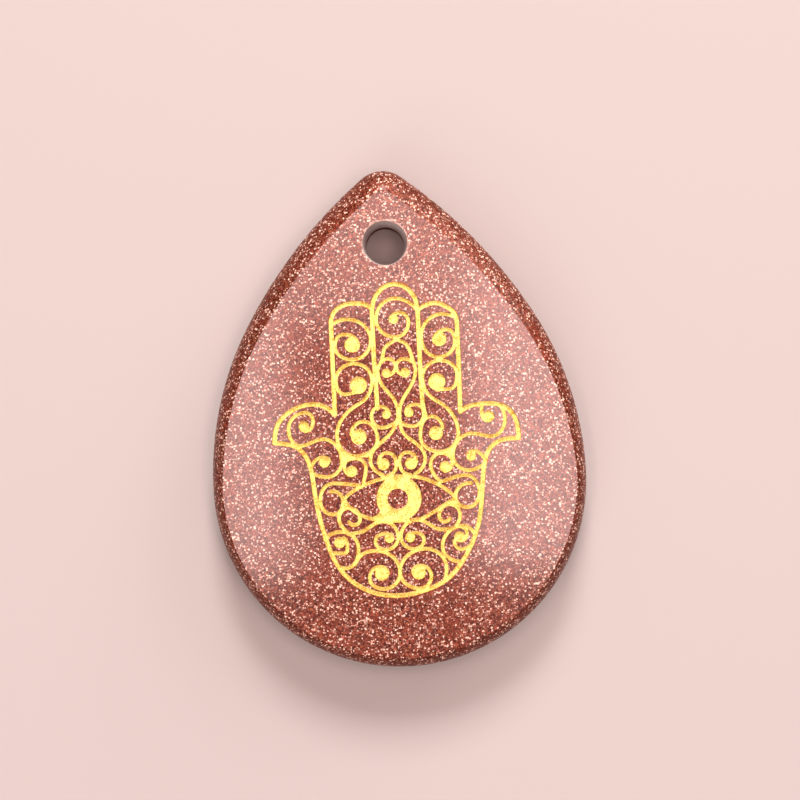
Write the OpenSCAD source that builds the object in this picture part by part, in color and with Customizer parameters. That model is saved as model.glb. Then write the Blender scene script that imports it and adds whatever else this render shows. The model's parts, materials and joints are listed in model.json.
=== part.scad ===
// Teardrop pendant of polished goldstone, drilled through near its tip.
// A hamsa is engraved into the domed face, and gold fills the engraving to just below the face.
// The drop lies on its flat back: X across it, Y toward its tip and Z up through its face.

/* [Stone] */
// Width of the drop
drop_w = 30; // [28:0.5:34]
// Length of the drop, from its round base to its tip
drop_l = 40; // [38:0.5:46]
// Thickness at the crown of the face
drop_t = 6.2; // [5.4:0.1:8]
// Radius of the tip
tip_r = 2.6; // [2.5:0.1:4]
// Radius of the flanks, above the round base
flank_r = 26; // [22:0.5:32]
// Turn of each flank before the shoulder, in degrees
flank_turn = 30; // [24:1:36]
// Radius of the domed face
face_r = 150; // [90:5:260]
// Width of the rounded edge around the base
edge_w_base = 0.9; // [0.7:0.1:2.2]
// Width of the rounded edge at the tip
edge_w_tip = 1.7; // [1:0.1:2.3]
// Height of the rounded edge
edge_h = 2.3; // [1.5:0.1:3]
// Radius of the rounding along the back
back_r = 0.9; // [0.4:0.1:1.4]

/* [Hole] */
// Diameter of the drilled hole
hole_d = 3.1; // [2.4:0.1:3.5]
// Diameter of the mouth, where the hole flares at the face
mouth_d = 3.6; // [3.6:0.1:4.4]
// Depth of the flared mouth
mouth_deep = 3; // [1:0.1:3.4]
// From the tip to the axis of the hole
hole_from_tip = 6; // [5:0.1:7]

/* [Hamsa] */
// Height of the engraved hand
hand_h = 24.8; // [20:0.1:26]
// From the mouth of the hole down to the hand
hand_clear = 1.5; // [1:0.1:2.5]
// Lean of the hand toward the right, in degrees
hand_lean = 1.8; // [0:0.1:4]
// Width of the lines around the hand
outer_line = 0.38; // [0.3:0.01:0.44]
// Width of the lines inside the hand
inner_line = 0.32; // [0.26:0.01:0.4]
// Depth of the engraving
groove_deep = 0.4; // [0.3:0.05:0.6]
// How far the gold lies below the face
gold_sunk = 0.18; // [0.05:0.01:0.22]
// Gap between the gold and the walls and floor of the engraving
gold_gap = 0.015; // [0.01:0.005:0.03]

/* [Hidden] */
base_r = drop_w / 2;
base_y = base_r - drop_l / 2;
tip_y = drop_l / 2 - tip_r;
hole_y = drop_l / 2 - hole_from_tip;
hand_top = hole_y - mouth_d / 2 - hand_clear;
// Height of the hand in the chart's own shares
chart_h = 250;
share = hand_h / chart_h;
// How far a cutting solid reaches past the surface that it cuts
past = 1;
// How far the rounding of the edge would rise above the face, which cuts it off in a crisp line
crest = 0.2;
// How far the rounding runs on inside that line
lap = 0.15;
// How far a drawn line may stray from its true curve, in shares of the hand
stray = 0.14;

// How finely the face, the hole and the balls are rounded
face_sides = 400;
hole_sides = 64;
ball_sides = 28;

// The face is part of a large sphere, and the engraving's floor and the gold's top follow the same centre
face_c = drop_t - face_r;
function face_z(p) = face_c + sqrt(face_r * face_r - p * p);
module face_ball(down) {
    translate([0, 0, face_c]) sphere(r = face_r - down, $fn = face_sides);
}

// Outline: base, flanks, shoulders and tip are arcs, and each runs smoothly into the next
function way(a) = [cos(a), sin(a)];
flank_c = [base_r - flank_r, base_y];
flank_end = flank_c + flank_r * way(flank_turn);
tip_c = [0, tip_y];
to_tip = flank_end - tip_c;
shoulder_r = (to_tip * to_tip - tip_r * tip_r) / (2 * (to_tip * way(flank_turn) - tip_r));
shoulder_c = flank_end - shoulder_r * way(flank_turn);
shoulder_way = (tip_c - shoulder_c) / (shoulder_r - tip_r);
shoulder_turn = atan2(shoulder_way[1], shoulder_way[0]);

// Stations along the outline: a point of each, with the direction that the edge faces there
function arc(c, r, from, to, n) = [for (i = [0 : n - 1])
    let (a = from + (to - from) * i / n) [c + r * way(a), way(a)]];
function across(c) = [-c[0], c[1]];
base_steps = 72;
flank_steps = 12;
shoulder_steps = 8;
tip_steps = 20;
stations = concat(
    arc([0, base_y], base_r, 180, 360, base_steps),
    arc(flank_c, flank_r, 0, flank_turn, flank_steps),
    arc(shoulder_c, shoulder_r, flank_turn, shoulder_turn, shoulder_steps),
    arc(tip_c, tip_r, shoulder_turn, 180 - shoulder_turn, tip_steps),
    arc(across(shoulder_c), shoulder_r, 180 - shoulder_turn, 180 - flank_turn, shoulder_steps),
    arc(across(flank_c), flank_r, 180 - flank_turn, 180, flank_steps));
function inside(s, d) = s[0] - d * s[1];
function raised(p, z) = [p[0], p[1], z];

// The rounding along the back is a quarter of a circle
function back_ring(turn) = [for (s = stations)
    raised(inside(s, back_r * (1 - sin(turn))), back_r * (1 - cos(turn)))];

// The rounding along the face is part of an ellipse. It is wider toward the tip, and its height under
// the face stays the same.
edge_turn = asin(edge_h / (edge_h + crest));
function edge_w(s) = let (up = (s[0][1] - base_y) / (tip_y - base_y))
    edge_w_base + (edge_w_tip - edge_w_base) * min(max(up, 0), 1);
function edge_ring(part) = [for (s = stations)
    let (w = edge_w(s), reach = w / (1 - cos(edge_turn)), turn = part * acos(1 - (w + lap) / reach))
    raised(inside(s, reach * (1 - cos(turn))),
        face_z(inside(s, w)) - edge_h + (edge_h + crest) * sin(turn))];
function top_ring(z) = [for (s = stations) raised(inside(s, edge_w(s) + lap), z)];

// A solid through rings with the same number of points, counted upward
module skin(rings) {
    n = len(rings[0]);
    last = len(rings) - 1;
    sides = [for (k = [0 : last - 1], i = [0 : n - 1])
        let (a = k * n + i, b = k * n + (i + 1) % n)
        each [[a, a + n, b + n], [a, b + n, b]]];
    bottom = [for (i = [0 : n - 1]) i];
    top = [for (i = [n - 1 : -1 : 0]) last * n + i];
    polyhedron([for (ring = rings) each ring], concat([bottom], sides, [top]));
}

back_steps = 4;
edge_steps = 7;
module drop_blank() {
    intersection() {
        skin(concat(
            [for (i = [0 : back_steps]) back_ring(90 * i / back_steps)],
            [for (i = [0 : edge_steps]) edge_ring(i / edge_steps)],
            [top_ring(drop_t + past)]));
        face_ball(0);
    }
}

// The hole is drilled straight from the back, and flares evenly to its mouth in the face
mouth_z = face_z([0, hole_y]);
flare = (mouth_d - hole_d) / 2 / mouth_deep;
module hole() {
    translate([0, hole_y, -past])
        cylinder(d = hole_d, h = mouth_z + past, $fn = hole_sides);
    translate([0, hole_y, mouth_z - mouth_deep])
        cylinder(r1 = hole_d / 2, r2 = mouth_d / 2 + flare * past, h = mouth_deep + past, $fn = hole_sides);
}

// The hand is charted line by line, right and left apart, because it was drawn freehand.
// A row gives the line's width, its knots, and the ball that it curls around, where there is one.
// A knot gives how far right, how far up and which way the line heads, in degrees from the right.
// A ball gives how far right, how far up and its radius.
// Lengths are shares of the hand's height, chart_h in all.
WIDTH = 0;
KNOTS = 1;
BALL = 2;
RIGHT = 0;
UP = 1;
HEADING = 2;
RADIUS = 2;

// Fingers: outsides, top scrolls, second curls and the S lines with the third scrolls
left_finger = [
    [outer_line, [[-49, 147, 90], [-50, 221, 90], [-33, 235.5, 0], [-17.5, 231.5, -42]]],
    [inner_line, [[-49, 219.5, 30], [-37.5, 223, 0], [-18.5, 206, -90], [-33.5, 190.5, 180], [-47.5, 202, 90],
        [-40.5, 211, 0], [-29, 203, -90]], [-33.5, 202.5, 6.4]],
    [inner_line, [[-33, 187.5, 180], [-47.5, 174, -90], [-40.5, 163, 0], [-30, 165, 10]], [-29.5, 170, 7]],
    [inner_line, [[-33, 187.5, 0], [-18.5, 174, -90], [-29, 155.5, 207], [-48, 131, -92], [-33, 113.5, 0],
        [-15.5, 127, 90], [-26.5, 141, 180], [-36.5, 131, -90]], [-30.5, 129, 6.4]]];
right_finger = [
    [outer_line, [[51, 146.5, 90], [50.5, 219, 91], [45, 229, 148], [33.5, 234, 180], [20.5, 229.5, 215]]],
    [inner_line, [[49.5, 222.5, 165], [39, 225, 180], [21.5, 207, -90], [35, 190.5, 0], [48.5, 203, 90],
        [42.5, 212.5, 180], [32, 205.5, -100]], [36, 205, 6]],
    [inner_line, [[35.5, 188, 0], [49.5, 176, -90], [43, 165, 180], [33, 164.5, 180]], [33, 171, 7]],
    [inner_line, [[35.5, 188, 180], [21.5, 174, -90], [32, 156, -28], [49, 131, -88], [34, 115, 180],
        [18.5, 128, 90], [27.5, 143.5, 0], [36.5, 134, -90]], [31, 130, 5.7]]];
middle_finger = [
    [outer_line, [[-15, 151, 90], [-16.5, 190, 91], [-17, 228, 90], [1, 250, 0], [19.5, 229, -90],
        [20, 190, -90], [21, 156, -88], [23.5, 143, -75]]],
    [inner_line, [[19, 229, 128], [1.5, 238.5, 180], [-14, 222, -90], [1.5, 207.5, 0], [12, 219.5, 90],
        [5, 227, 180], [-2, 222.5, -90]], [0, 222, 4.1]],
    [inner_line, [[2, 206, 218], [-8, 198.5, -115], [-9.5, 192, -95], [-14, 181, -90], [-7.5, 165.5, -47],
        [1.5, 148, -88], [-5.5, 130.5, 228], [-22, 110, -90], [-12, 97.5, -25]]],
    [inner_line, [[2, 206, -38], [10.5, 200.5, -62], [14, 190.5, -78], [16.5, 181, -92], [9.5, 164, -124],
        [2.5, 148, -90], [7, 128.5, -42], [22, 111, -90], [13.5, 98, 205]]],
    [inner_line, [[-11, 187.5, 50], [-5.5, 190.5, 0], [0.5, 184.5, -88], [-6.5, 177, 180]], [-7, 179, 3.9]],
    [inner_line, [[13.5, 187.5, 130], [7, 190, 180], [1, 184.5, -92], [8, 177, 0]], [8, 179, 4.1]],
    [inner_line, [[-1, 139.5, 215], [-11, 135.5, 180], [-20, 145, 90], [-13, 152.5, 0], [-5.5, 146.5, -90]],
        [-8, 146, 3.6]],
    [inner_line, [[3, 139.5, -35], [12.5, 136, 0], [22, 146, 90], [15.5, 153.5, 180], [7.5, 147.5, -90]],
        [10, 147, 3.9]]];

// Thumbs, and the bowl of the hand that runs from one thumb to the other
thumbs = [
    [outer_line, [[-49.5, 147.5, 128], [-66, 156, 178], [-91, 146, 222], [-98, 126, -92]]],
    [outer_line, [[51, 147, 35], [72, 152.5, 0], [91, 146, -48], [97, 124.5, -90]]],
    [inner_line, [[-67, 100, -20], [-57, 97.5, 0], [-44.5, 110, 90], [-59.5, 128, 180], [-77, 123, 180],
        [-86.5, 136.5, 90], [-73, 149.5, 0], [-66.5, 143, -90], [-73, 134.5, 180]], [-74, 138.5, 4.5]],
    [inner_line, [[67.5, 103, 205], [57, 99.5, 180], [44, 111.5, 90], [60, 129, 0], [75, 126, 0],
        [86.5, 140, 90], [80, 152, 165]]],
    [inner_line, [[68, 152, -90], [68, 145, -88], [73, 138.5, 0]], [73.5, 142, 4.7]],
    [inner_line, [[-69, 107, 60], [-59.5, 113.5, 0], [-54.5, 110, -90]], [-58.5, 109.5, 4.4]],
    [inner_line, [[69, 109, 120], [60.5, 115, 180], [56, 111.5, -90]], [58.5, 111, 4.1]]];
bowl = [
    [outer_line, [[-98, 126, -5], [-85, 124, -15], [-71.5, 111, -68], [-67, 84, -83], [-59.5, 48.5, -73],
        [-46.5, 20.5, -51], [-20, 3, -17], [2, 1, 2], [20, 5, 15], [44, 20, 49], [60.5, 49, 69], [67, 88, 85],
        [70.5, 110.5, 72], [82, 122.5, 20], [97, 124, 0]]]];

// Palm: the scrolls over the eye, then the lids and the curls beside them
palm = [
    [inner_line, [[-28, 92.5, 75], [-25.5, 104, 90], [-34, 112, 180], [-43, 106, -90], [-37, 98.5, 0]],
        [-37, 101.5, 4.6]],
    [inner_line, [[-43.5, 112, 30], [-34, 113, 0], [-23.5, 113.5, -30]], [-43, 113, 3.8]],
    [inner_line, [[32.5, 92, 135], [26, 105, 90], [34.5, 114, 0], [43.5, 107, -90], [37.5, 99.5, 180]],
        [37.5, 103, 4.6]],
    [inner_line, [[34, 114.5, 0], [43.5, 113, -30]], [42, 114.5, 2.6]],
    [inner_line, [[-9, 97, 15], [-2, 102, 68], [-1.5, 108.5, 90], [-8.5, 115.5, 180], [-15.5, 108, -90]],
        [-11.5, 106.5, 5]],
    [inner_line, [[10, 97, 165], [2.5, 102, 112], [1, 108.5, 90], [8, 115.5, 0], [15, 108, -90]],
        [10.5, 106.5, 5]]];
eye = [
    [inner_line, [[-44, 79.5, 50], [-36, 86, 32], [-22, 92.5, 18], [1, 96.5, 0], [24.5, 92.5, -26],
        [36.5, 86, -40], [44.5, 79, -50]]],
    [inner_line, [[-44, 79.5, -62], [-36, 69.5, -38], [-23.5, 63.5, -16], [0, 61, 0], [13, 61, 4],
        [21, 63.5, 27], [33, 70.5, 31], [44.5, 77.5, 25]]],
    [inner_line, [[-20, 64, 5], [-14, 69, 70]], [-12.3, 64, 5]],
    [inner_line, [[-54.5, 86, 10], [-44.5, 77.5, -90], [-53, 67.5, 180], [-63, 79, 90], [-52, 92.5, 0],
        [-31, 90, -8]], [-44, 74.5, 2.8]],
    [inner_line, [[58, 89.5, 175], [45, 79, -90], [54.5, 70, 0], [64.5, 82, 90], [53, 96, 180],
        [33, 91, 188]], [44, 75, 3]]];
iris = [0, 79, 18.2];
pupil = [-1, 78.5, 8];

// Below the eye: loops, shoulders with small scrolls, the big scrolls and the outer loops
lower_left = [
    [inner_line, [[-42, 53, 130], [-48.5, 63, 90], [-41, 72.5, 0], [-31.5, 63.5, -90], [-36.5, 58.5, 180],
        [-40.5, 61, 120]]],
    [inner_line, [[-41, 51.5, 8], [-29, 53.5, 25], [-14, 61, 0], [-1.5, 48, -90], [-12, 38, 180],
        [-20, 45, 90], [-12.5, 51, 0], [-6, 47, -90]], [-8.5, 47.5, 4.2]],
    [inner_line, [[-37, 27, 60], [-33.5, 32.5, 52], [-20, 37.5, 0], [-1, 20, -90], [-14, 6.5, 180],
        [-25.5, 15.5, 90], [-17, 24.5, 0], [-10.5, 19, -90]], [-15.5, 19, 5.8]],
    [inner_line, [[-60, 47.5, 60], [-47, 53.5, 0], [-33.5, 40, -90], [-43, 24, 190], [-49.5, 25, 170]]],
    [inner_line, [[-45, 48.5, -20], [-42.5, 39, -90], [-45, 36, 180], [-54.5, 36.5, 180]], [-48.5, 45, 4.7]]];
lower_right = [
    [inner_line, [[44, 54, 60], [48.5, 64, 90], [40.5, 73, 180], [31.5, 63.5, -90], [36.5, 59, 0],
        [40, 61.5, 55]]],
    [inner_line, [[42, 53.5, 190], [29, 54, 155], [14, 61.5, 180], [0.5, 48, -90], [11, 38, 0],
        [19, 45, 90], [13, 51, 180], [5, 47, -90]], [8, 47.5, 4.2]],
    [inner_line, [[35, 13, 85], [36.5, 22, 92], [19.5, 38, 180], [-1, 19.5, -90], [13.5, 6, -5],
        [24, 16, 90], [15, 24.5, 180], [9, 19.5, -90]], [14, 19, 5.8]],
    [inner_line, [[13, 6, -5], [21, 6.5, 20]]],
    [inner_line, [[59.5, 49, 125], [50, 55.5, 180], [33.5, 39, -90], [47.5, 26.5, -5]]],
    [inner_line, [[56, 39, 205], [49, 36.5, 180], [43, 43.5, 90]], [47.5, 46.5, 4.5]],
    [inner_line, [[47, 55, 5], [53.5, 49, -90], [49.5, 43.5, 200]]]];

// A stretch of line bends from one knot to the next with as little change of curve as the headings allow
function point(k) = share * [k[RIGHT], k[UP]];
// A turn is taken the short way round
function between(a) = a - 360 * floor((a + 180) / 360);
// How far the line leans on its heading at each end, as a share of the straight run between the knots
function pull(a, b) =
    (2 + sqrt(2) * (sin(a) - sin(b) / 16) * (sin(b) - sin(a) / 16) * (cos(a) - cos(b)))
    / (3 + 1.5 * (sqrt(5) - 1) * cos(a) + 1.5 * (3 - sqrt(5)) * cos(b));
function on_curve(p, t) = let (s = 1 - t)
    s * s * s * p[0] + 3 * s * s * t * p[1] + 3 * s * t * t * p[2] + t * t * t * p[3];
function beside_curve(p, t) = let (s = 1 - t,
    d = s * s * (p[1] - p[0]) + 2 * s * t * (p[2] - p[1]) + t * t * (p[3] - p[2])) [-d[1], d[0]] / norm(d);
function beside(k) = way(k[HEADING] + 90);
// A line's open end is half round
function cap(k, half, facing) = [for (a = [60 : -30 : -60]) point(k) + half * way(k[HEADING] + facing + a)];
module stretch(half, k, next, first, last) {
    run = point(next) - point(k);
    heading = atan2(run[1], run[0]);
    leave = between(k[HEADING] - heading);
    arrive = between(heading - next[HEADING]);
    p = [point(k), point(k) + norm(run) * pull(leave, arrive) * way(k[HEADING]),
        point(next) - norm(run) * pull(arrive, leave) * way(next[HEADING]), point(next)];
    bow = norm(run) * (abs(leave) + abs(arrive)) * PI / 180 / 8;
    n = max(1, ceil(sqrt(bow / (stray * share))));
    middle = [for (i = [1 : 1 : n - 1]) on_curve(p, i / n)];
    out = [for (i = [1 : 1 : n - 1]) half * beside_curve(p, i / n)];
    polygon(concat(
        [point(k) + half * beside(k)],
        middle + out,
        [point(next) + half * beside(next)],
        last ? cap(next, half, 0) : [],
        [point(next) - half * beside(next)],
        [for (i = [n - 2 : -1 : 0]) middle[i] - out[i]],
        [point(k) - half * beside(k)],
        first ? cap(k, half, 180) : []));
}
module ball(b, wider) {
    translate(point(b)) circle(r = share * b[RADIUS] + wider, $fn = ball_sides);
}
module drawn(lines, wider) {
    for (line = lines) {
        knots = line[KNOTS];
        last = len(knots) - 2;
        for (i = [0 : last])
            stretch(line[WIDTH] / 2 + wider, knots[i], knots[i + 1], i == 0, i == last);
        if (len(line) > BALL) ball(line[BALL], wider);
    }
}

// The whole hand as one flat net, with every line and ball wider on each side by the given amount.
// The offset of nothing joins the lines and balls into one flat shape and moves no edge.
module hand(wider) {
    translate([0, hand_top - hand_h / 2]) rotate(-hand_lean) translate([0, -hand_h / 2])
        offset(delta = 0) {
            drawn(left_finger, wider);
            drawn(right_finger, wider);
            drawn(middle_finger, wider);
            drawn(thumbs, wider);
            drawn(bowl, wider);
            drawn(palm, wider);
            drawn(lower_left, wider);
            drawn(lower_right, wider);
            difference() {
                union() {
                    drawn(eye, wider);
                    ball(iris, wider);
                }
                ball(pupil, -wider);
            }
        }
}
module hand_prism(wider) {
    translate([0, 0, drop_t / 2]) linear_extrude(height = drop_t / 2 + past) hand(wider);
}

module goldstone_drop() {
    color([0.45, 0.24, 0.17]) difference() {
        drop_blank();
        hole();
        difference() {
            hand_prism(0);
            face_ball(groove_deep);
        }
    }
}

module gold_inlay() {
    color([0.95, 0.85, 0.3]) difference() {
        intersection() {
            hand_prism(-gold_gap);
            face_ball(gold_sunk);
        }
        face_ball(groove_deep - gold_gap);
    }
}

goldstone_drop();
gold_inlay();
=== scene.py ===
# %% [markdown]
# A goldstone drop with a gold hamsa
#
# Goldstone is brown glass that is full of tiny copper crystals. This pendant is a drop of it, ground to a
# low dome and polished. A hamsa, the open hand of many old amulets, is engraved into the dome, and gold
# fills the lines. The two solids, the drop and the gold, come ready made and to size. What is left is
# their finish: how the crystals glitter, how the glass shines over them, and how the gold lies in its
# lines.

# %% Load the solids
import json
import math

import bpy
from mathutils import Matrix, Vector


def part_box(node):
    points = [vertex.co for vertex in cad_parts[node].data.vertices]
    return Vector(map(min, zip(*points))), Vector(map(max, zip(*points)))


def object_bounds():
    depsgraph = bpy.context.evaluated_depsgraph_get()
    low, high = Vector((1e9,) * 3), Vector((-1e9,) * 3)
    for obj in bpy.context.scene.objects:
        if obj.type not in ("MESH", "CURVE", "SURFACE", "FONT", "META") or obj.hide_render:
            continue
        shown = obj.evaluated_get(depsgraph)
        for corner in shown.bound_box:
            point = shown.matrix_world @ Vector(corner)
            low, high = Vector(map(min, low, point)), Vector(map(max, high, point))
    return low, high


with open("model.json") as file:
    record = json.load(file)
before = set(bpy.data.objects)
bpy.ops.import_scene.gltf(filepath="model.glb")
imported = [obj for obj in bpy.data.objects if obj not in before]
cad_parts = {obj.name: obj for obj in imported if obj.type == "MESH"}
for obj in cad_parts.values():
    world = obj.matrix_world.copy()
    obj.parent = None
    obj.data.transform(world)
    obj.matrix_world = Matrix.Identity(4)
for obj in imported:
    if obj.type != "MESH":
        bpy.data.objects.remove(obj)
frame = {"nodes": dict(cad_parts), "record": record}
CAD_BOX = [list(corner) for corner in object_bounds()]
MM = 0.001
drop = frame["nodes"]["goldstone_drop"]
gold = frame["nodes"]["gold_inlay"]
low, high = (Vector(corner) for corner in CAD_BOX)
print("the drop measures", [round(length / MM, 2) for length in high - low], "mm")

# %% [markdown]
# The camera
#
# The pendant is seen from straight above, turned a little, from four of its own lengths away. From so
# near, what stands higher looks slightly larger, and a camera with the same place and lens shows the
# same. A constraint could aim it, but a place and one turn are easier to read. The Standard view
# transform shows the colours plainly, where a filmic one would wash out the bright gold.

# %% Place the camera
FROM_ABOVE = 161 * MM
ASIDE = (0.42 * MM, 1.48 * MM)
TURN = math.radians(-3.6)
LENS = 88.2
NEAREST = 10 * MM
scene = bpy.context.scene
optics = bpy.data.cameras.new("camera")
optics.lens = LENS
optics.clip_start = NEAREST
camera = bpy.data.objects.new("camera", optics)
camera.location = (*ASIDE, FROM_ABOVE)
camera.rotation_euler = (0, 0, TURN)
scene.collection.objects.link(camera)
scene.camera = camera
scene.view_settings.view_transform = "Standard"
print("the camera hangs", round(FROM_ABOVE / (high - low).y, 1), "lengths of the drop above the floor")

# %% [markdown]
# A pale floor
#
# The drop lies flat on its back, on a sheet of plain paper that is much wider than the view. The paper
# only catches the shadow. Its colour is darker than it looks, because the lights are strong. The helper
# makes a material and sets the values that are the same all over it. What changes over a surface is fed in
# by nodes further down.

# %% Lay the floor
FLOOR_SIDE = 900 * MM
FLOOR_COLOR = (0.42, 0.365, 0.35, 1)


def material(name, plain):
    """A new material with its plain values set, its node tree and its Principled shader."""
    made = bpy.data.materials.new(name)
    made.use_nodes = True
    shader = made.node_tree.nodes["Principled BSDF"]
    for socket, value in plain.items():
        shader.inputs[socket].default_value = value
    return made, made.node_tree, shader


half = FLOOR_SIDE / 2
corners = [(-half, -half, 0), (half, -half, 0), (half, half, 0), (-half, half, 0)]
sheet = bpy.data.meshes.new("floor")
sheet.from_pydata(corners, [], [(0, 1, 2, 3)])
floor = bpy.data.objects.new("floor", sheet)
scene.collection.objects.link(floor)
paper, _, _ = material("pale paper", {"Base Color": FLOOR_COLOR, "Roughness": 0.9, "Specular IOR Level": 0.2})
sheet.materials.append(paper)
print("the floor is", FLOOR_SIDE, "m wide")

# %% [markdown]
# Soft panels overhead
#
# A polished drop shows its surroundings as much as itself. The low dome mirrors what hangs within some
# twenty degrees of straight above, so four soft panels hang there, round the camera. They leave the
# middle of the dome free, and there the crystals look darker and richer. The panels are pinkish, and so
# is the sheen that they leave on the glass. Lamps of the area kind are used, because a gloss mirrors
# their shape.

# %% Hang the panels
PANEL_UP = 400 * MM
PANEL_COLOR = (1.0, 0.73, 0.70)
# Each panel has a name, its left, right, near and far edge in mm, and its brightness
PANELS = [
    ("left_panel", -135, -78, -112, 112, 9.4),
    ("right_panel", 50, 140, -118, 126, 9.8),
    ("far_panel", -78, 50, 66, 126, 5.0),
    ("tip_panel", -60, 45, 126, 185, 6.2)]
DOWN = Vector((0, 0, -1))


def area_light(name, width, depth, brightness, color, spot, aim):
    """A soft panel at spot that looks at aim. A polished face mirrors its brightness as it is."""
    lamp = bpy.data.lights.new(name, "AREA")
    lamp.shape = "RECTANGLE"
    lamp.size = width
    lamp.size_y = depth
    lamp.energy = brightness * math.pi * width * depth
    lamp.color = color
    held = bpy.data.objects.new(name, lamp)
    held.location = spot
    held.rotation_euler = (aim - spot).to_track_quat("-Z", "Y").to_euler()
    scene.collection.objects.link(held)


for name, left, right, near, far, brightness in PANELS:
    spot = Vector(((left + right) / 2 * MM, (near + far) / 2 * MM, PANEL_UP))
    area_light(name, (right - left) * MM, (far - near) * MM, brightness, PANEL_COLOR, spot, spot + DOWN)
print(len(PANELS), "panels hang at", PANEL_UP, "m")

# %% [markdown]
# Light from the sides
#
# Light from above alone would flatten the engraving. The key light stands far beyond the tip and rather
# low, so the wall on the tip side of each line throws a fine shadow on the gold. A weak fill from the
# other end keeps the round base from going dark, and a low light from the right brightens the edge beside
# the tip. The world adds a little from everywhere. These lamps are nearly white, because much of the
# gold's light comes from them.

# %% Set the side lights
SIDE_COLOR = (1.0, 0.97, 0.95)
KEY_UP = math.radians(37)
KEY_AWAY = 900 * MM
KEY_WAY = Vector((-math.sin(TURN) * math.cos(KEY_UP), math.cos(TURN) * math.cos(KEY_UP), math.sin(KEY_UP)))
# Each side light has a name, its place, its width and its brightness
SIDE_LIGHTS = [
    ("key", KEY_AWAY * KEY_WAY, 270 * MM, 40),
    ("fill", Vector((-180, -330, 330)) * MM, 300 * MM, 3.0),
    ("low_light", Vector((300, 330, 170)) * MM, 300 * MM, 5.0)]
ROOM_COLOR = (1.0, 0.91, 0.88, 1)
ROOM_BRIGHT = 0.34
for name, spot, width, brightness in SIDE_LIGHTS:
    area_light(name, width, width, brightness, SIDE_COLOR, spot, Vector((0, 0, 0)))
room = bpy.data.worlds.new("room")
room.use_nodes = True
room.node_tree.nodes["Background"].inputs["Color"].default_value = ROOM_COLOR
room.node_tree.nodes["Background"].inputs["Strength"].default_value = ROOM_BRIGHT
scene.world = room
print("the side lights are", ", ".join(row[0] for row in SIDE_LIGHTS))

# %% [markdown]
# Writing nodes in few lines
#
# A shader is a graph of small nodes, and most of its script is one line per node. Two helpers keep those
# lines short. One feeds a socket, with a plain value or with a link from another socket. The other adds a
# node, sets it up and feeds it.

# %% Feed a socket, add a node


def feed(tree, socket, value):
    """Gives a socket a plain value, or links another socket to it."""
    if isinstance(value, bpy.types.NodeSocket):
        tree.links.new(value, socket)
    else:
        socket.default_value = value


def add(tree, kind, inputs=None, **settings):
    """Adds a node, sets it up and feeds the inputs that are named or numbered."""
    made = tree.nodes.new("ShaderNode" + kind)
    for name, value in settings.items():
        setattr(made, name, value)
    for socket, value in (inputs or {}).items():
        feed(tree, made.inputs[socket], value)
    return made


print("feed and add are ready")

# %% [markdown]
# Arithmetic with nodes
#
# A finish without pictures is arithmetic on the place of each point: its distance to something, a noise
# there, a blend of two colours by a mask. Each of these helpers is one such step. A ramp is the one used
# most, because it turns any measure into a mask with soft borders.

# %% Helpers for the arithmetic


def maths(tree, operation, *values):
    """A Math node with its inputs in order, and its result."""
    return add(tree, "Math", dict(enumerate(values)), operation=operation).outputs[0]


def vector(tree, operation, *values):
    """A Vector Math node with its inputs in order, and its result."""
    return add(tree, "VectorMath", dict(enumerate(values)), operation=operation).outputs[0]


def times(tree, arrow, factor):
    """A vector made longer or shorter."""
    return add(tree, "VectorMath", {0: arrow, "Scale": factor}, operation="SCALE").outputs[0]


def per(tree, arrow, size):
    """A place counted in steps of a given size."""
    return times(tree, arrow, maths(tree, "DIVIDE", 1.0, size))


def ramp(tree, value, start, end, lowest=0.0, highest=1.0):
    """Goes smoothly from lowest to highest while value goes from start to end."""
    inputs = {"Value": value, "From Min": start, "From Max": end, "To Min": lowest, "To Max": highest}
    return add(tree, "MapRange", inputs, interpolation_type="SMOOTHSTEP").outputs[0]


def noise(tree, place, scale, detail):
    """A noise texture, whose outputs are a value and a colour."""
    return add(tree, "TexNoise", {"Vector": place, "Scale": scale, "Detail": detail}).outputs


def mix(tree, share, first, second):
    """Blends two colours, from the first at a share of 0 to the second at 1."""
    made = add(tree, "Mix", data_type="RGBA")
    for socket, value in zip((made.inputs[0], made.inputs[6], made.inputs[7]), (share, first, second)):
        feed(tree, socket, value)
    return made.outputs[2]


print("the arithmetic is ready")

# %% [markdown]
# Node groups
#
# The crystals, the powdery grain and the distance from the hole are each used by more than one material.
# Copies would drift apart, so each is a node group: it is built once, has named inputs and outputs like a
# function, and is placed in each material with that material's own values.

# %% Helpers for groups


def group(name, inputs, outputs):
    """A node group with named sockets: its tree, its inputs as sockets and its outputs to feed."""
    tree = bpy.data.node_groups.new(name, "ShaderNodeTree")
    for title, kind, value in inputs:
        socket = tree.interface.new_socket(title, in_out="INPUT", socket_type="NodeSocket" + kind)
        socket.default_value = value
    for title, kind in outputs:
        tree.interface.new_socket(title, in_out="OUTPUT", socket_type="NodeSocket" + kind)
    given = tree.nodes.new("NodeGroupInput").outputs
    return tree, given, tree.nodes.new("NodeGroupOutput").inputs


def placed(tree, made, inputs):
    """Places a node group in a material, feeds it and gives its outputs."""
    holder = add(tree, "Group", node_tree=made)
    for socket, value in inputs.items():
        feed(tree, holder.inputs[socket], value)
    return holder.outputs


print("groups can be made and placed")

# %% [markdown]
# Cells for the copper crystals
#
# Goldstone glitters because each crystal is a tiny flat mirror that faces its own way. A picture of
# grains would fit one side only, so the grains are made in the solid: a Voronoi texture cuts space into
# cells, and each cell draws its own random numbers, always the same ones. A noise pushes the places about
# first, so that the cells get uneven outlines. Larger cells hold the few crystals that flash, and smaller
# ones the dull crowd behind them. The crystals run on from the face over the edge to the back.

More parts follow.
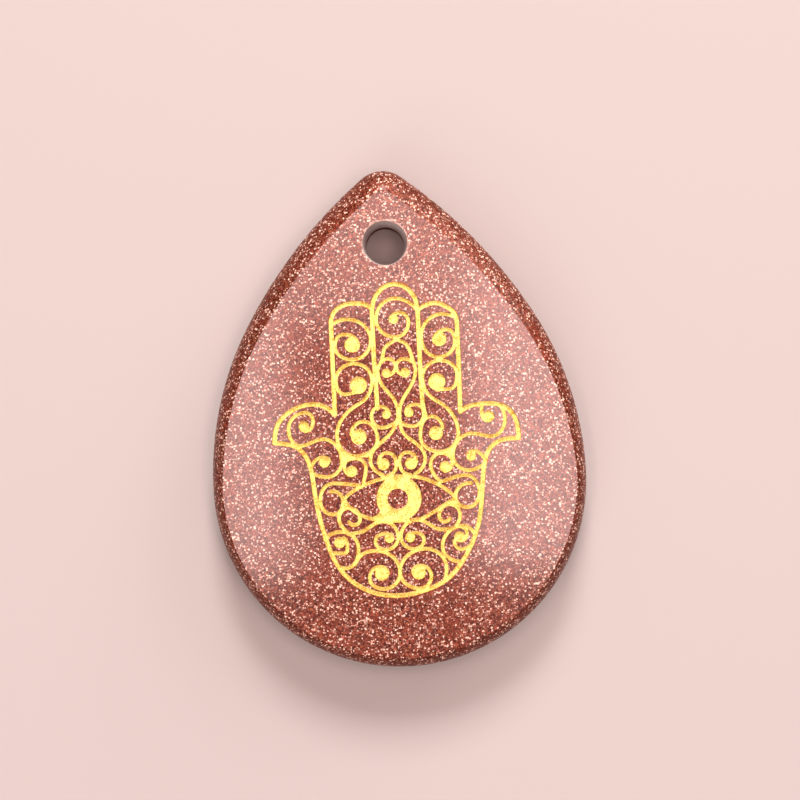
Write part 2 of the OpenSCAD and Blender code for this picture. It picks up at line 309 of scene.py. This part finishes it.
# %% Cut space into crystals
CRYSTAL_SIZE = 0.15 * MM
TILT = 0.4
WANDER_SCALE = 1.6
WANDER_REACH = 1.1
SMALL_SCALE = 1.45
MIDDLE = (0.5, 0.5, 0.5)
crystals, given, out = group(
    "copper crystals",
    [("Crystal Size", "Float", CRYSTAL_SIZE), ("Sparkle", "Float", 1.0), ("Tilt", "Float", TILT)],
    [("Color", "Color"), ("Metallic", "Float"), ("Normal", "Vector")])
place = add(crystals, "TexCoord").outputs["Object"]
counted = per(crystals, place, given["Crystal Size"])
push = vector(crystals, "SUBTRACT", noise(crystals, counted, WANDER_SCALE, 1.0)["Color"], MIDDLE)
pushed = vector(crystals, "ADD", counted, times(crystals, push, WANDER_REACH))
large = add(crystals, "TexVoronoi", {"Vector": pushed, "Scale": 1.0}).outputs
small = add(crystals, "TexVoronoi", {"Vector": pushed, "Scale": SMALL_SCALE}).outputs
print("a large crystal is about", CRYSTAL_SIZE / MM, "mm wide")

# %% [markdown]
# Which crystals flash
#
# In one picture only a few crystals mirror a lamp into the eye. Real mirrors of this size would flicker
# and need many samples, so the flash is painted: each large cell draws a chance, and the lucky ones get a
# bright spot in their middle. A second draw makes the spots unlike in width.

# %% Choose the flashes
FLASH_CHANCE = (0.56, 0.94)
SPOT_WIDTHS = (0.65, 1.2)
SPOT_BORDER = (0.68, 0.22)
chance, _, width_draw = add(crystals, "SeparateColor", {0: large["Color"]}).outputs
width = ramp(crystals, width_draw, 0.0, 1.0, *SPOT_WIDTHS)
spot = ramp(crystals, maths(crystals, "DIVIDE", large["Distance"], width), *SPOT_BORDER)
flash = maths(crystals, "MULTIPLY", ramp(crystals, chance, *FLASH_CHANCE), spot)
flash = maths(crystals, "MULTIPLY", flash, given["Sparkle"])
print("crystals flash from a chance of", FLASH_CHANCE[0], "up")

# %% [markdown]
# The colour between the flashes
#
# Behind the flashes lie crystals that are turned away. They look anything from nearly black to dull
# copper, some more pink and some more brown, and each fades toward its border. A slow cloud of rust over
# them keeps the drop from looking as even as a print. The flash comes on top, and what flashes is made
# less metallic, so that its pale colour holds in any light.

# %% Colour the crystals
DEEP = (0.045, 0.005, 0.002, 1)
DULL = (0.30, 0.084, 0.033, 1)
PINK = (0.26, 0.052, 0.042, 1)
RUST = (0.17, 0.026, 0.011, 1)
FLASH = (1.0, 0.64, 0.50, 1)
SHADE_POWER = 1.5
SHADE_GAIN = 1.12
BORDER_FADE = (0.95, 0.2, 0.45, 1.2)
CLOUD_SIZE = 2.2 * MM
RUST_SHARE = (0.35, 0.75, 0.0, 0.35)
METAL_SHARE = (0.0, 0.6, 0.4, 0.1)
_, shade_draw, pink_draw = add(crystals, "SeparateColor", {0: small["Color"]}).outputs
dim = maths(crystals, "MULTIPLY", maths(crystals, "POWER", shade_draw, SHADE_POWER), SHADE_GAIN)
dim = maths(crystals, "MULTIPLY", dim, ramp(crystals, small["Distance"], *BORDER_FADE))
ground = mix(crystals, dim, DEEP, mix(crystals, pink_draw, DULL, PINK))
clouds = noise(crystals, place, 1 / CLOUD_SIZE, 2.0)[0]
ground = mix(crystals, ramp(crystals, clouds, *RUST_SHARE), ground, RUST)
feed(crystals, out["Color"], mix(crystals, flash, ground, FLASH))
feed(crystals, out["Metallic"], ramp(crystals, flash, *METAL_SHARE))
print("the clouds of rust are about", round(CLOUD_SIZE / MM, 1), "mm wide")

# %% [markdown]
# The way each crystal faces
#
# The small cells also tilt the surface's direction, each its own way. So the light of a panel doesn't
# slide over the crystals as one smooth shine, but catches some and misses others. The tilt goes out as a
# normal, which the material gives to the crystals and not to the clear glass over them.

# %% Tilt the crystals
lean = vector(crystals, "SUBTRACT", small["Color"], MIDDLE)
facing = add(crystals, "NewGeometry").outputs["Normal"]
tilted = vector(crystals, "ADD", facing, times(crystals, lean, given["Tilt"]))
feed(crystals, out["Normal"], vector(crystals, "NORMALIZE", tilted))
print("the crystal group has", len(crystals.nodes), "nodes")

# %% [markdown]
# A powdery grain
#
# Two finishes on this pendant are rough at the scale of dust: the gold, which is a paint of metal
# powder, and the cut glass, which a diamond tool leaves frosted. One group gives both a fine grain. It
# puts out a height for a Bump node, and a mask that makes the colour uneven, mostly in grains and partly
# in wider patches.

# %% The group for the grain
GRAIN_PART = 0.68
PATCH_PART = 0.32
MOTTLE_RANGE = (0.37, 0.56)
grain, given, out = group(
    "powdery grain",
    [("Grain Size", "Float", 0.06 * MM), ("Patch Size", "Float", 0.3 * MM)],
    [("Height", "Float"), ("Mottle", "Float")])
place = add(grain, "TexCoord").outputs["Object"]
dust = noise(grain, per(grain, place, given["Grain Size"]), 1.0, 2.0)[0]
patches = noise(grain, per(grain, place, given["Patch Size"]), 1.0, 1.0)[0]
both = maths(grain, "MULTIPLY_ADD", dust, GRAIN_PART, maths(grain, "MULTIPLY", patches, PATCH_PART))
feed(grain, out["Height"], dust)
feed(grain, out["Mottle"], ramp(grain, both, *MOTTLE_RANGE))
print("the grain group has", len(grain.nodes), "nodes")

# %% [markdown]
# Where the hole is
#
# Both finishes of the glass change round the drilled hole, so one small group measures how far each point
# lies from its axis, and how high it lies. The place of the axis comes from the part's own record, where
# the hole is a mount, and not from a second number here.

# %% The group for the hole
BORE = next(mount for mount in frame["record"]["mounts"] if mount["name"] == "cord_hole")
BORE_AT = Vector(BORE["pos_m"])
bored, _, out = group("distance from the hole", [], [("Distance", "Float"), ("Height", "Float")])
place = add(bored, "TexCoord").outputs["Object"]
aside = vector(bored, "MULTIPLY", vector(bored, "SUBTRACT", place, BORE_AT), (1, 1, 0))
feed(bored, out["Distance"], add(bored, "VectorMath", {0: aside}, operation="LENGTH").outputs["Value"])
feed(bored, out["Height"], add(bored, "SeparateXYZ", {0: place}).outputs["Z"])
print("the hole's axis is", round(BORE_AT.y / MM, 2), "mm toward the tip")

# %% [markdown]
# Polished goldstone
#
# The crystals lie under clear glass, and a Principled shader can hold both: its base is the crystals, and
# its coat is the smooth glass, which mirrors the panels softly. The base's specular level is zero, or the
# dark crystals would look hazy. The rounded edge shines less than the dome, so there the coat is weaker,
# by how steeply the surface stands.

# %% The polished goldstone
EDGE_GLOSS = 0.18
GLOSS_BY_RISE = (0.95, 0.985, EDGE_GLOSS, 1.0)
polished, tree, shader = material(
    "polished goldstone",
    {"Roughness": 0.42, "Specular IOR Level": 0.0, "Coat Roughness": 0.16})
inside = placed(tree, crystals, {})
rise = add(tree, "SeparateXYZ", {0: add(tree, "NewGeometry").outputs["Normal"]}).outputs["Z"]
gloss = ramp(tree, rise, *GLOSS_BY_RISE)
feed(tree, shader.inputs["Normal"], inside["Normal"])
drop.data.materials[0] = polished
print("polished goldstone is on", drop.name)

# %% [markdown]
# The chipped mouth of the hole
#
# The drill breaks the polish round the mouth of the hole, in a ragged ring that looks paler. A noise
# makes the ring's outer border uneven. Inside it the colour is lighter, and there is neither metal nor
# coat, so the ring stays matt.

# %% Chip the mouth
MOUTH_R = 1.8 * MM
CHIP_REACH = 0.22 * MM
CHIP_GRAIN = 0.25 * MM
CHIP_BORDER = 0.03 * MM
CHIP_NOISE = (0.4, 0.7)
CHIP_SHARE = 0.6
CHIP_COLOR = (0.72, 0.48, 0.40, 1)
place = add(tree, "TexCoord").outputs["Object"]
ragged = ramp(tree, noise(tree, place, 1 / CHIP_GRAIN, 2.0)[0], *CHIP_NOISE)
reach = maths(tree, "MULTIPLY_ADD", ragged, CHIP_REACH, MOUTH_R)
past = maths(tree, "SUBTRACT", placed(tree, bored, {})["Distance"], reach)
chipped = ramp(tree, past, CHIP_BORDER, -CHIP_BORDER)
whole = maths(tree, "SUBTRACT", 1.0, chipped)
pale = maths(tree, "MULTIPLY", chipped, CHIP_SHARE)
feed(tree, shader.inputs["Base Color"], mix(tree, pale, inside["Color"], CHIP_COLOR))
feed(tree, shader.inputs["Metallic"], maths(tree, "MULTIPLY", inside["Metallic"], whole))
feed(tree, shader.inputs["Coat Weight"], maths(tree, "MULTIPLY", gloss, whole))
print("the chips reach", CHIP_REACH / MM, "mm past the hole")

# %% [markdown]
# Frosted goldstone
#
# A diamond tool leaves the wall of the hole frosted. The same crystals are there, but the broken surface
# scatters light, so a grey veil lies over them. The veil fades out toward the back, so the wall turns dark
# red-brown there. The walls of the engraving are cut the same way, but gold powder clings to them, so
# they are mostly an orange gold, and they tint the shade on the gold beside them.

# %% The frosted goldstone
SPARKLE_LEFT = 0.35
VEIL_DARK = (0.40, 0.34, 0.33, 1)
VEIL_LIGHT = (0.64, 0.56, 0.54, 1)
VEIL_FULL_AT = 2.2 * MM
VEIL_BY_HEIGHT = (VEIL_FULL_AT / 2, VEIL_FULL_AT, 0.0, 0.75)
HOLE_ZONE = (2.3 * MM, 2.0 * MM)
WALL_GOLD = (0.74, 0.36, 0.05, 1)
WALL_GOLD_SHARE = 0.75
FROST_DEEP = 0.02 * MM
frosted, tree, shader = material("frosted goldstone", {"Roughness": 0.8, "Specular IOR Level": 0.25})
inside = placed(tree, crystals, {"Sparkle": SPARKLE_LEFT})
broken = placed(tree, grain, {"Grain Size": 0.07 * MM, "Patch Size": 0.4 * MM})
around = placed(tree, bored, {})
veil = mix(tree, broken["Mottle"], VEIL_DARK, VEIL_LIGHT)
hole_wall = mix(tree, ramp(tree, around["Height"], *VEIL_BY_HEIGHT), inside["Color"], veil)
line_wall = mix(tree, WALL_GOLD_SHARE, inside["Color"], WALL_GOLD)
in_hole = ramp(tree, around["Distance"], *HOLE_ZONE)
feed(tree, shader.inputs["Base Color"], mix(tree, in_hole, line_wall, hole_wall))
bump = add(tree, "Bump", {"Height": broken["Height"], "Distance": FROST_DEEP, "Strength": 0.6})
feed(tree, shader.inputs["Normal"], bump.outputs[0])
print("the veil is full from", round(VEIL_FULL_AT / MM, 1), "mm above the back")

# %% [markdown]
# Gold in the lines
#
# The gold is a thick paint of fine gold powder, pressed into the engraving. A pure metal would mirror the
# panels and hide the fine shadows, so the powder is only partly metallic and mostly matt. Its colour has
# more red than it seems: in full light the red is at its limit and the gold looks lemon, and in the
# shade of the walls it turns to orange. Where the powder lies thin it is darker.

# %% The gold
THIN_GOLD = (0.50, 0.29, 0.03, 1)
THICK_GOLD = (0.93, 0.79, 0.22, 1)
POWDER_DEEP = 0.012 * MM
powder, tree, shader = material(
    "gold powder",
    {"Metallic": 0.25, "Roughness": 0.62, "Specular IOR Level": 0.2})
dusty = placed(tree, grain, {"Grain Size": 0.09 * MM, "Patch Size": 0.5 * MM})
feed(tree, shader.inputs["Base Color"], mix(tree, dusty["Mottle"], THIN_GOLD, THICK_GOLD))
bump = add(tree, "Bump", {"Height": dusty["Height"], "Distance": POWDER_DEEP, "Strength": 0.5})
feed(tree, shader.inputs["Normal"], bump.outputs[0])
gold.data.materials[0] = powder
print("gold powder is on", gold.name)

# %% [markdown]
# Which faces are polished
#
# Only what a grinding wheel can reach is polished. The upright walls of the hole and of the engraving are
# cut, so they get the frosted finish. A face tells which it is by its direction and its place: cut walls
# stand upright, and they are either near the axis of the hole or higher than the gold's underside.

# %% Sort the faces
UPRIGHT = 0.1
HOLE_REACH = MOUTH_R + 0.02 * MM
drop.data.materials.append(frosted)
gold_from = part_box("gold_inlay")[0].z
counts = {"polished": 0, "hole": 0, "engraving": 0}
for face in drop.data.polygons:
    kind = "polished"
    if abs(face.normal.z) < UPRIGHT and (face.center.xy - BORE_AT.xy).length < HOLE_REACH:
        kind = "hole"
    elif abs(face.normal.z) < UPRIGHT and face.center.z > gold_from:
        kind = "engraving"
    face.material_index = int(kind != "polished")
    counts[kind] += 1
print(counts)

# %% [markdown]
# A smooth edge
#
# The rounded edge is built from flat facets, 132 round the drop and a few up its side. The wheel left it
# smooth, so the facets that meet at a corner get one shared direction there. The line where the edge
# meets the dome stays crisp, because the dome keeps its own directions. Blender's Shade Smooth by Angle
# can't tell that line from the borders between facets, which turn as much, so the directions are averaged
# here. No point of the mesh moves.

# %% Smooth the edge
SAME_PLACE = 0.001 * MM
mesh = drop.data
back_z = CAD_BOX[0][2]


def place_of(vertex):
    """The place of a vertex as whole steps, so that corners at one place can be matched."""
    return tuple(round(axis / SAME_PLACE) for axis in mesh.vertices[vertex].co)


facets = [face for face in mesh.polygons
          if not face.use_smooth and face.material_index == 0 and face.center.z > back_z + SAME_PLACE]
shared = {}
for face in facets:
    for vertex in face.vertices:
        shared.setdefault(place_of(vertex), Vector()).xyz += face.normal * face.area
directions = [tuple(corner.vector) for corner in mesh.corner_normals]
for face in facets:
    face.use_smooth = True
    for corner, vertex in zip(face.loop_indices, face.vertices):
        directions[corner] = tuple(shared[place_of(vertex)].normalized())
mesh.normals_split_custom_set(directions)
print(len(facets), "facets share their corners' directions")
